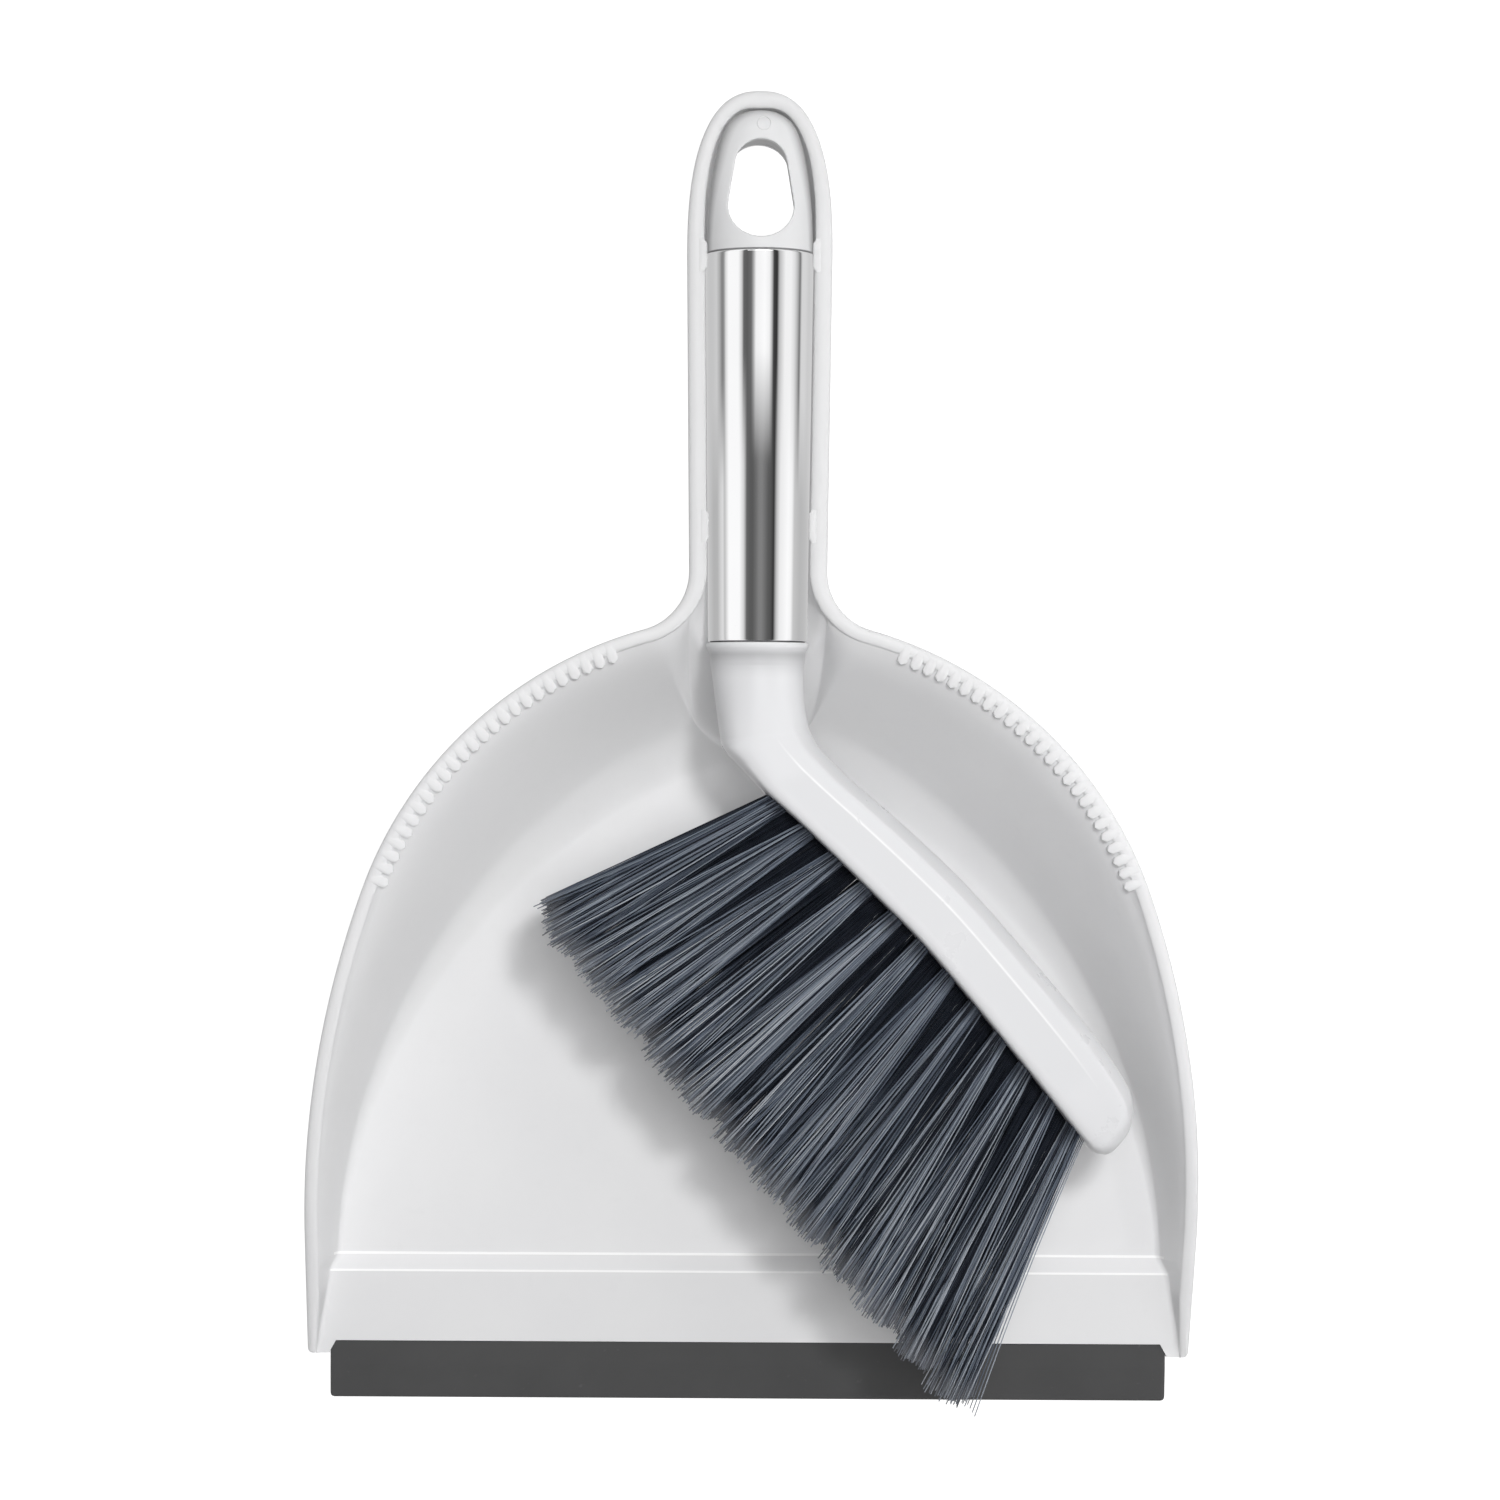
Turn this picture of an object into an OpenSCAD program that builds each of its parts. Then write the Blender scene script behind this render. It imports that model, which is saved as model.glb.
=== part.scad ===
/* [Dustpan] */
// Half of the pan's width at the side rims
half_w = 113.9; // [113.5:0.1:114]
// Radius of the round back of the pan
back_r = 104.5; // [104:0.1:105]
// Height of the rim at the back and along the handle
rim_h = 48; // [47:0.5:49]
// Thickness of the pan's floor
floor_t = 3; // [2.6:0.1:3.2]
// Width of the flat flange on top of the wall
flange_w = 3.6; // [3.4:0.1:3.8]
// Thickness of the pan's wall
wall_t = 2.1; // [1.8:0.1:2.3]
// Number of comb teeth on each side of the back rim
teeth = 25; // [12:1:26]

/* [Front edge] */
// How far the rubber lip stands out in front of the ramp
lip_out = 15; // [10:1:16]
// Thickness of the rubber lip where it leaves the pan
lip_t = 2; // [1.4:0.1:2]
// Height of the crest of the ramp
crest_h = 5.5; // [4.5:0.1:6]
// Half of the rubber lip's width
lip_hw = 108.1; // [106.8:0.1:108.1]

/* [Brush handle] */
// Outer radius of the steel tube at the head
tube_r_low = 12.3; // [12.0:0.05:12.4]
// Outer radius of the steel tube at the hanging end
tube_r_high = 13.45; // [13.2:0.05:13.5]
// Wall of the steel tube
tube_wall = 0.5; // [0.4:0.1:0.6]

/* [Brush] */
// Radius of a bristle tuft in its hole
tuft_r = 2.45; // [2:0.05:2.5]
// Radius of a tuft at its tips
tip_r = 3.7; // [3:0.1:3.7]
// Depth of the tuft holes
hole_depth = 12; // [10:0.5:12.5]

/* [Hidden] */
$fn = 64;

// Handle axis of the brush while it is stored: above the floor, along Y
axis_z = 44;
tube_y0 = 29.1;
tube_y1 = 125.5;

function lerp(a, b, t) = a + (b - a) * t;
function clamp01(t) = min(1, max(0, t));
function smooth(t) = let (c = clamp01(t)) c * c * (3 - 2 * c);
function unit(v) = v / norm(v);
function cr(p0, p1, p2, p3, t) = 0.5 * (2 * p1 + (p2 - p0) * t
    + (2 * p0 - 5 * p1 + 4 * p2 - p3) * t * t
    + (3 * p1 - p0 - 3 * p2 + p3) * t * t * t);
// A table of stations refined to k steps between each two rows
function refine(T, k) = let (n = len(T)) concat(
    [for (i = [0:n - 2]) for (j = [0:k - 1])
        cr(T[max(0, i - 1)], T[i], T[i + 1], T[min(n - 1, i + 2)], j / k)],
    [T[n - 1]]);
// Superellipse coordinate
function sgp(v, e) = v < 0 ? -pow(-v, e) : pow(v, e);

// A closed skin over rings that all have the same number of points
module loft(rings, flip = false) {
    n = len(rings[0]);
    m = len(rings);
    pts = [for (r = rings) for (p = r) p];
    sides = [for (i = [0:m - 2]) for (j = [0:n - 1])
        let (a = i * n + j, b = i * n + (j + 1) % n,
             c = (i + 1) * n + (j + 1) % n, d = (i + 1) * n + j)
        each (flip ? [[a, c, b], [a, d, c]] : [[a, b, c], [a, c, d]])];
    first = [for (j = [0:n - 1]) j];
    last = [for (j = [0:n - 1]) (m - 1) * n + n - 1 - j];
    rev_first = [for (j = [0:n - 1]) n - 1 - j];
    rev_last = [for (j = [0:n - 1]) (m - 1) * n + j];
    polyhedron(points = pts, convexity = 8, faces = concat(sides,
        flip ? [first, last] : [rev_first, rev_last]));
}

// ---- Dustpan: outline of the rim ----
y_front = -154.3;
ramp_y = -151;
crest_y = -132.6;
step_y = -128.4;
side_a = 20;
side_r = (half_w - back_r * cos(side_a)) / (1 - cos(side_a));
fillet_r = 15;
neck_hw = 17.2;
tip_hw = 18.1;
tip_y = 125;
tip_l = 41;
trough_rim = 4.2;
back_c = [0, -68.5];
side_c = [back_c[0] + (back_r - side_r) * cos(side_a),
          back_c[1] + (back_r - side_r) * sin(side_a)];
side_x = side_c[0] + side_r;
fil_x = neck_hw + fillet_r;
fil_c = [fil_x, back_c[1] + sqrt(pow(back_r + fillet_r, 2) - fil_x * fil_x)];
back_end = 90 - atan(fil_x / (fil_c[1] - back_c[1]));
neck_y = fil_c[1];

// Height of the rim along Y: low at the front, full height from the middle on
function rim_z(y) = let (t = clamp01((y + 154) / 154))
    4 + (rim_h - 4) * (1 - pow(1 - t, 1.8));
function flange(y) = lerp(2.4, flange_w, clamp01((y + 154) / 16));
// Inner half-width of the handle's trough and its floor
function trough_hw(y) = lerp(neck_hw, tip_hw, clamp01((y - neck_y) / (tip_y - neck_y))) - trough_rim;
function trough_z(y) = axis_z - trough_hw(y) - 0.05;
// Height of the inner floor along the middle line
function floor_z(y) =
    y < crest_y ? lerp(crest_h, 3.2, (crest_y - y) / (crest_y - ramp_y)) :
    y < step_y ? lerp(floor_t, crest_h, (step_y - y) / (step_y - crest_y)) :
    y < 2 ? floor_t : lerp(floor_t, trough_z(y), smooth((y - 2) / 29));
function under_z(y) = y < 2 ? 0
    : floor_z(y) - lerp(floor_t, 2.4, smooth((y - 2) / 29));
// Half-width of the flat floor
function floor_hw(y) =
    y < -132 ? lerp(107.8, 111.2, (-132 - y) / 19) :
    y < step_y ? lerp(107.8, 105.9, (y + 132) / 3.6) :
    106 * pow(1 - pow(max(0, y + 130) / 136, 1.9), 0.625);

// One station of the pan: [rim point, inward direction, foot of the wall,
// point on the middle line, flange width, height of the wall's top, and the
// two exponents of the wall's curve]
function st_front(y) = let (fl = flange(y), w = side_x - fl,
        zt = max(rim_z(y) - 1.2, floor_z(y) + 0.4))
    [[side_x, y], [-1, 0], [min(floor_hw(y), w - 0.4), y], [0, y], fl, zt, 1.15, 1];
function foot(g) = let (t = 4 + 76 * g)
    [106 * pow(cos(t), 1.25), -130 + 136 * pow(sin(t), 1.0526)];
arc_l = side_r * side_a + back_r * (back_end - side_a);
function st_arc(c, n, g) =
    [c, n, foot(g), [0, lerp(side_c[1], -1, g)], flange_w,
     rim_z(c[1]) - 1.2, 1.15 + 0.25 * g, 1];
function st_side(a) = let (n = [cos(a), sin(a)])
    st_arc(side_c + side_r * n, -n, side_r * a / arc_l);
function st_back(a) = let (n = [cos(a), sin(a)])
    st_arc(back_c + back_r * n, -n,
        (side_r * side_a + back_r * (a - side_a)) / arc_l);
function st_fillet(f) = let (a = lerp(180 + back_end, 180, f), n = [cos(a), sin(a)],
        e = foot(1))
    [fil_c + fillet_r * n, n, lerp(e, [1.1, neck_y], f), [0, lerp(-1, neck_y, f)],
     lerp(flange_w, trough_rim, f) + 1.2 * sin(180 * f),
     lerp(rim_h - 1.2, axis_z, smooth(f)),
     lerp(1.4, 2, f), lerp(1, 2, f)];
function st_handle(y) =
    [[trough_hw(y) + trough_rim, y], [-1, 0], [1.1, y], [0, y], trough_rim, axis_z, 2, 2];
function st_tip(a) = let (x = tip_hw * pow(cos(a), 0.8), dy = tip_l * pow(sin(a), 0.8),
        n = -unit([pow(x, 1.5) / pow(tip_hw, 2.5), pow(dy, 1.5) / pow(tip_l, 2.5)]),
        c = [x, tip_y + dy], m = [0, tip_y + 25 * dy / tip_l],
        fl = trough_rim - 0.75 * sin(2 * a))
    [c, n, lerp(m, c + fl * n, 0.08), m, fl, axis_z, 2, 2];

STATIONS = concat(
    [for (y = [y_front, ramp_y, -146.5, -142, -137, crest_y, step_y, -125]) st_front(y)],
    [for (i = [0:5]) st_side(side_a * i / 5)],
    [for (i = [1:11]) st_back(lerp(side_a, back_end, i / 11))],
    [for (i = [1:10]) st_fillet(i / 10)],
    [for (y = [72, 98, tip_y]) st_handle(y)],
    [for (i = [1:8]) st_tip(90 * i / 8)]);

wall_n = 7;
function at(p, z) = [p[0], p[1], z];
// The closed section of the pan at one station
function section(s) = let (c = s[0], n = s[1], b = s[2], m = s[3], fl = s[4],
        zt = s[5], ea = s[6], eb = s[7], zr = rim_z(c[1]), w = c + fl * n,
        zb = floor_z(min(b[1], tip_y)), zm = floor_z(min(m[1], tip_y)),
        tb = zb - under_z(min(b[1], tip_y)), tw = min(wall_t, fl - 0.8),
        ss = [for (j = [0:wall_n]) cos(90 * j / wall_n)],
        wall = [for (v = ss) at(lerp(b, w, v),
            zb + (zt - zb) * (1 - pow(1 - pow(v, ea), 1 / eb)))])
    concat(
        [at(c + 0.35 * n, zr - 3), at(c, zr - 2.4), at(c, zr - 0.9),
         at(c + 0.45 * n, zr - 0.2), at(c + 1.2 * n, zr),
         at(c + (fl - 1) * n, zr), at(c + (fl - 0.3) * n, zr - 0.3)],
        wall,
        [at(lerp(b, m, 0.5), (zb + zm) / 2), at(m, zm)],
        [at(m, under_z(min(m[1], tip_y))), at(b, under_z(min(b[1], tip_y)))],
        [for (j = [wall_n - 1:-1:0]) let (p = wall[j], v = ss[j])
            [p[0] - tw * v * n[0], p[1] - tw * v * n[1],
             max(0, min(p[2] - tb * sqrt(1 - v * v), zr - 2.8))]]);

module pan_half() { loft([for (s = STATIONS) section(s)]); }

// Pear-shaped hanging hole, as a straight column along Z
module pear(grow, h) {
    r1 = 8 + grow;
    r2 = 6.3 + grow;
    d = 10.3;
    k = (r1 - r2) / d;
    q = sqrt(1 - k * k);
    linear_extrude(height = h) {
        translate([0, 136.7]) circle(r = r1);
        translate([0, 147]) circle(r = r2);
        polygon([[r1 * q, 136.7 + r1 * k], [r2 * q, 147 + r2 * k],
                 [-r2 * q, 147 + r2 * k], [-r1 * q, 136.7 + r1 * k]]);
    }
}

module comb_tooth(a) {
    y = back_c[1] + back_r * sin(a);
    hull()
        for (r = [back_r - 1.3, back_r - 3.9])
            translate([back_c[0] + r * cos(a), back_c[1] + r * sin(a), rim_z(y) - 2])
                cylinder(r1 = 1, r2 = 0.7, h = 2.6, $fn = 6);
}

// Snap bump on the trough's edge: it narrows the mouth above the tube
module snap_bump(y, reach) {
    hull() {
        translate([reach, y - 3, rim_h - 1.6]) cube([1.8, 6, 1.1]);
        translate([reach + 0.7, y - 4, rim_h - 1.9]) cube([1.1, 8, 1.75]);
    }
}

// ---- Brush head: root side, outer side, half-thickness, squareness, shoulder ----
HEAD = refine([
    [-11.5, 27.4, 11.5, 27.4, 11.5, 2, 0],
    [-11.3, 20, 11.4, 20, 11.5, 2, 0],
    [-10.2, 12, 11.8, 13, 12, 2.3, 0],
    [-8.9, 3.8, 12.9, 7.6, 13.2, 3, 0.12],
    [-6.6, 0.4, 14.3, 4.6, 13.8, 4, 0.22],
    [1.8, -8.3, 17.2, 0.4, 14, 6, 0.3],
    [10, -16, 23, -5.2, 14, 7, 0.34],
    [20, -25.8, 32.4, -13.4, 14, 7, 0.35],
    [30.4, -36.4, 42.8, -24, 14, 7, 0.35],
    [40.4, -46.6, 52.8, -34.2, 14, 7, 0.35],
    [53.6, -61.6, 67, -50.8, 14, 7, 0.35],
    [68.2, -79.2, 81.7, -68.6, 14, 7, 0.35],
    [76.2, -88.8, 88.6, -77.4, 14, 7, 0.35],
    [81.2, -94.2, 92, -82.6, 13.6, 5.5, 0.33],
    [84.2, -96.8, 93.6, -86.6, 12.2, 4, 0.25],
    [85.8, -97.5, 93.9, -89.4, 9.4, 3, 0.1]], 2);
head_n = 28;
function head_ring(r) = [for (j = [0:head_n - 1])
    let (a = 360 * (j + 0.5) / head_n, e = 2 / r[5],
         u = 0.5 + 0.5 * sgp(cos(a), e),
         z = r[4] * sgp(sin(a), e) * (1 - r[6] * max(0, (u - 0.58) / 0.42)))
    [lerp(r[0], r[2], u), lerp(r[1], r[3], u), axis_z + z]];

// ---- Tufts: twelve rows along the head, four tufts in each ----
ROWS = [[5, -11.3], [12, -17.8], [19, -24.7], [26.2, -32.2], [33.4, -39.5],
        [40.2, -46.4], [47, -53.6], [53.6, -61.2], [59.8, -69], [66, -76.7],
        [72, -84.2], [78, -91.6]];
function row_a(i) = 29 + 36 * pow(i / 11, 0.93);
function row_len(i) = 64.5 + 8 * i / 11;
column_pitch = 6.2;
column_tilt = 1.3;
// Places children at the mouth of a tuft hole, with +Z along the bristles;
// the columns are staggered by half a pitch
module at_tuft(i, c) {
    p = ROWS[i] - (c % 2 == 1 ? 0 : i == 0 ? 0.1 : 0.5) * (ROWS[max(1, i)] - ROWS[max(0, i - 1)]);
    translate([p[0], p[1], axis_z + column_pitch * (c - 1.5)])
        rotate([0, 0, 180 + row_a(i)])
            rotate([0, 90 - column_tilt * (c - 1.5), 0])
                children();
}
module tuft(i) {
    tip = row_len(i);
    difference() {
        union() {
            translate([0, 0, -hole_depth + 0.15]) cylinder(r = tuft_r, h = hole_depth + 3, $fn = 32);
            translate([0, 0, 2.5]) cylinder(r1 = tuft_r, r2 = tip_r, h = tip - 2.5, $fn = 32);
        }
        translate([-2.6, -0.3, -hole_depth - 1]) cube([5.2, 0.6, 3.6]);
    }
}
module tuft_row(i) { for (c = [0:3]) at_tuft(i, c) tuft(i); }

function tube_r(y) = lerp(tube_r_low, tube_r_high, (y - tube_y0) / (tube_y1 - tube_y0));

// ---- Hanging cap: half-width, half-thickness and squareness along Y ----
CAP = refine([
    [125.6, 13.25, 13.1, 2], [128, 13.25, 12.8, 2.1], [133, 13.1, 11.5, 2.5],
    [139, 12.7, 9.6, 3], [146, 11.8, 8.1, 3.4], [152, 10.6, 7.5, 3.4],
    [156.5, 9, 7.1, 3.2], [159, 7.1, 6.2, 2.8], [160.6, 4.4, 4.6, 2.4],
    [161.2, 2.2, 2.4, 2]], 2);
cap_n = 28;
function cap_ring(r) = [for (j = [0:cap_n - 1])
    let (a = 360 * (j + 0.5) / cap_n, e = 2 / r[3])
    [r[1] * sgp(cos(a), e), r[0], axis_z + r[2] * sgp(sin(a), e)]];

module along_y(y) { translate([0, y, axis_z]) rotate([-90, 0, 0]) children(); }

module dustpan_body() {
    color([0.93, 0.93, 0.935]) difference() {
        union() {
            pan_half();
            mirror([1, 0, 0]) pan_half();
            for (k = [0:teeth - 1], m = [0, 1])
                mirror([m, 0, 0]) comb_tooth(68.9 - k * 47 / 24);
            for (m = [0, 1]) mirror([m, 0, 0]) {
                snap_bump(125, tube_r_high + 0.08);
                snap_bump(57.8, tube_r(57.8) + 0.1);
            }
        }
        // Seat of the rubber lip below the ramp, and the open front edge
        translate([-108.25, -170, -1]) cube([216.5, 31, 3.05]);
        translate([0, 0, -1]) linear_extrude(height = 20) polygon([
            [-108.25, -160], [-108.25, y_front + 0.3], [-106.6, ramp_y],
            [106.6, ramp_y], [108.25, y_front + 0.3], [108.25, -160]]);
        translate([0, 0, 20]) pear(0.6, 20);
    }
}

module rubber_lip() {
    y1 = -139.2;
    y0 = ramp_y - lip_out;
    color([0.29, 0.29, 0.3]) intersection() {
        translate([-lip_hw, 0, 0]) rotate([90, 0, 90]) linear_extrude(height = 2 * lip_hw)
            polygon([[y0, 0], [y1, 0], [y1, lip_t], [ramp_y, lip_t],
                     [lerp(y0, ramp_y, 0.5), lip_t * 0.8], [y0, lip_t * 0.45]]);
        translate([0, 0, -1]) linear_extrude(height = 6) union() {
            translate([-lip_hw, y0 + 1]) square([2 * lip_hw, y1 - y0 - 1]);
            translate([1 - lip_hw, y0]) square([2 * lip_hw - 2, 2]);
            for (m = [-1, 1]) translate([m * (lip_hw - 1), y0 + 1]) circle(r = 1);
        }
    }
}

module brush_head() {
    color([0.91, 0.915, 0.93]) difference() {
        union() {
            loft([for (r = HEAD) head_ring(r)], true);
            along_y(24.6) cylinder(r1 = 11.9, r2 = 12.7, h = 1.4);
            along_y(26) cylinder(r = 12.7, h = 3.05);
            // Tang inside the tube
            along_y(29) cylinder(r1 = tube_r_low - tube_wall - 0.08,
                r2 = tube_r(46) - tube_wall - 0.08, h = 17);
        }
        for (i = [0:11], c = [0:3])
            at_tuft(i, c) translate([0, 0, -hole_depth])
                cylinder(r = tuft_r + 0.06, h = hole_depth + 12, $fn = 32);
        along_y(32) cylinder(r = 9.5, h = 20);
    }
}

module handle_tube() {
    color([0.78, 0.79, 0.8]) along_y(tube_y0 + 0.02) difference() {
        cylinder(r1 = tube_r_low, r2 = tube_r_high, h = tube_y1 - tube_y0, $fn = 96);
        translate([0, 0, -0.01]) cylinder(r1 = tube_r_low - tube_wall, r2 = tube_r_high - tube_wall,
            h = tube_y1 - tube_y0 + 0.02, $fn = 96);
    }
}

module hang_cap() {
    color([0.86, 0.865, 0.87]) difference() {
        union() {
            loft([for (r = CAP) cap_ring(r)]);
            // Plug inside the tube
            along_y(114) cylinder(r1 = tube_r(114) - tube_wall - 0.1,
                r2 = tube_r(126) - tube_wall - 0.1, h = 12.4);
        }
        translate([0, 0, 20]) pear(0, 50);
        along_y(112) cylinder(r = 10.5, h = 13);
    }
}

module anchor_staples() {
    color([0.72, 0.68, 0.5]) for (i = [0:11], c = [0:3])
        at_tuft(i, c) translate([-2.1, -0.2, -hole_depth + 0.3]) cube([4.2, 0.4, 2]);
}

module bristles(i) { color([0.34, 0.37, 0.42]) tuft_row(i); }
module tuft_row_01() { bristles(0); }
module tuft_row_02() { bristles(1); }
module tuft_row_03() { bristles(2); }
module tuft_row_04() { bristles(3); }
module tuft_row_05() { bristles(4); }
module tuft_row_06() { bristles(5); }
module tuft_row_07() { bristles(6); }
module tuft_row_08() { bristles(7); }
module tuft_row_09() { bristles(8); }
module tuft_row_10() { bristles(9); }
module tuft_row_11() { bristles(10); }
module tuft_row_12() { bristles(11); }

dustpan_body();
rubber_lip();
brush_head();
handle_tube();
hang_cap();
tuft_row_01();
tuft_row_02();
tuft_row_03();
tuft_row_04();
tuft_row_05();
tuft_row_06();
tuft_row_07();
tuft_row_08();
tuft_row_09();
tuft_row_10();
tuft_row_11();
tuft_row_12();
anchor_staples();
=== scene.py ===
"""Dustpan and brush: the looks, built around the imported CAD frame. Lengths are millimetres until mesh_object()."""
import math
import random

import bmesh
import bpy
import numpy as np
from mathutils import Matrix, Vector


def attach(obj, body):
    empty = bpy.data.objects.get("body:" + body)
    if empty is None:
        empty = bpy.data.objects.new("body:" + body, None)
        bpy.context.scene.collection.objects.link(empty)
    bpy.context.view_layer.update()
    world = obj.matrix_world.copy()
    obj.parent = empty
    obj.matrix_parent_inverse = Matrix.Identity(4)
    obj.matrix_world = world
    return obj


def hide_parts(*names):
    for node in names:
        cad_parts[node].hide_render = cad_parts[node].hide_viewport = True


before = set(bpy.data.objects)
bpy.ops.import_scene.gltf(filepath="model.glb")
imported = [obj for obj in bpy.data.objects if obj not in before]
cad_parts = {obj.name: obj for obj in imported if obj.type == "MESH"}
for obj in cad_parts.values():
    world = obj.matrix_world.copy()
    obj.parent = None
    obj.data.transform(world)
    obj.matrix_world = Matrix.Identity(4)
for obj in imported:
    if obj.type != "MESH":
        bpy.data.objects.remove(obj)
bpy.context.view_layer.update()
scene = bpy.context.scene
MM = 0.001
AXIS_Z = 44.0


# ---------------------------------------------------------------- helpers
def lerp(a, b, t):
    return a + (b - a) * t


def clamp01(t):
    return min(1.0, max(0.0, t))


def smooth(t):
    t = clamp01(t)
    return t * t * (3 - 2 * t)


def mesh_object(name, verts, faces, material, smooth_angle=None, all_smooth=True):
    me = bpy.data.meshes.new(name)
    me.from_pydata([tuple(float(c) * MM for c in v) for v in verts], [], faces)
    me.update()
    ob = bpy.data.objects.new(name, me)
    scene.collection.objects.link(ob)
    if material is not None:
        me.materials.append(material)
    me.polygons.foreach_set("use_smooth", [all_smooth] * len(me.polygons))
    if smooth_angle is not None:
        me.set_sharp_from_angle(angle=math.radians(smooth_angle))
    return ob


def fix_normals(ob):
    bm = bmesh.new()
    bm.from_mesh(ob.data)
    bmesh.ops.recalc_face_normals(bm, faces=bm.faces)
    bm.to_mesh(ob.data)
    bm.free()


def weld(ob, dist=1e-6):
    bm = bmesh.new()
    bm.from_mesh(ob.data)
    bmesh.ops.remove_doubles(bm, verts=bm.verts, dist=dist)
    bmesh.ops.recalc_face_normals(bm, faces=bm.faces)
    bm.to_mesh(ob.data)
    bm.free()


def apply_modifiers(ob):
    dg = bpy.context.evaluated_depsgraph_get()
    new = bpy.data.meshes.new_from_object(ob.evaluated_get(dg))
    old = ob.data
    ob.modifiers.clear()
    ob.data = new
    bpy.data.meshes.remove(old)


def cut(ob, cutter):
    m = ob.modifiers.new("cut", "BOOLEAN")
    m.operation = "DIFFERENCE"
    m.solver = "EXACT"
    m.object = cutter
    apply_modifiers(ob)
    bpy.data.objects.remove(cutter)


def set_smooth(ob, angle):
    ob.data.polygons.foreach_set("use_smooth", [True] * len(ob.data.polygons))
    ob.data.set_sharp_from_angle(angle=math.radians(angle))


def bridge(rings, closed=True, caps=True):
    """Vertices and faces of a skin over equal rings."""
    n = len(rings[0])
    verts = [p for r in rings for p in r]
    faces = []
    for i in range(len(rings) - 1):
        for j in range(n if closed else n - 1):
            a, b = i * n + j, i * n + (j + 1) % n
            faces.append((a, b, b + n, a + n))
    if caps:
        faces.append(tuple(range(n - 1, -1, -1)))
        faces.append(tuple(range((len(rings) - 1) * n, len(rings) * n)))
    return verts, faces


def catmull(table, k):
    t = [np.array(r, float) for r in table]
    n = len(t)
    out = []
    for i in range(n - 1):
        p0, p1, p2, p3 = t[max(0, i - 1)], t[i], t[i + 1], t[min(n - 1, i + 2)]
        for j in range(k):
            u = j / k
            out.append(0.5 * (2 * p1 + (p2 - p0) * u + (2 * p0 - 5 * p1 + 4 * p2 - p3) * u * u
                              + (3 * p1 - p0 - 3 * p2 + p3) * u ** 3))
    out.append(t[-1])
    return out


def sgp(v, e):
    return -((-v) ** e) if v < 0 else v ** e


# ---------------------------------------------------------------- materials
def new_material(name):
    m = bpy.data.materials.new(name)
    m.use_nodes = True
    nt = m.node_tree
    nt.nodes.clear()
    out = nt.nodes.new("ShaderNodeOutputMaterial")
    bsdf = nt.nodes.new("ShaderNodeBsdfPrincipled")
    nt.links.new(bsdf.outputs["BSDF"], out.inputs["Surface"])
    return m, nt, bsdf, out


def noise(nt, coord, scale, detail=4.0, rough=0.55, stretch=None):
    n = nt.nodes.new("ShaderNodeTexNoise")
    n.inputs["Scale"].default_value = scale
    n.inputs["Detail"].default_value = detail
    n.inputs["Roughness"].default_value = rough
    if stretch:
        mp = nt.nodes.new("ShaderNodeMapping")
        mp.inputs["Scale"].default_value = stretch
        nt.links.new(coord, mp.inputs["Vector"])
        coord = mp.outputs["Vector"]
    nt.links.new(coord, n.inputs["Vector"])
    return n


def remap(nt, value, lo, hi, a=0.3, b=0.7):
    r = nt.nodes.new("ShaderNodeMapRange")
    r.inputs["From Min"].default_value = a
    r.inputs["From Max"].default_value = b
    r.inputs["To Min"].default_value = lo
    r.inputs["To Max"].default_value = hi
    nt.links.new(value, r.inputs["Value"])
    return r.outputs["Result"]


def mix_color(nt, fac, a, b):
    m = nt.nodes.new("ShaderNodeMix")
    m.data_type = "RGBA"
    if isinstance(fac, (int, float)):
        m.inputs["Factor"].default_value = fac
    else:
        nt.links.new(fac, m.inputs["Factor"])
    for sock, v in ((m.inputs[6], a), (m.inputs[7], b)):
        if isinstance(v, tuple):
            sock.default_value = (*v, 1.0) if len(v) == 3 else v
        else:
            nt.links.new(v, sock)
    return m.outputs[2]


def bump(nt, bsdf, height, strength, distance, normal=None):
    b = nt.nodes.new("ShaderNodeBump")
    b.inputs["Strength"].default_value = strength
    b.inputs["Distance"].default_value = distance
    nt.links.new(height, b.inputs["Height"])
    if normal is not None:
        nt.links.new(normal, b.inputs["Normal"])
    nt.links.new(b.outputs["Normal"], bsdf.inputs["Normal"])
    return b.outputs["Normal"]


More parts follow.
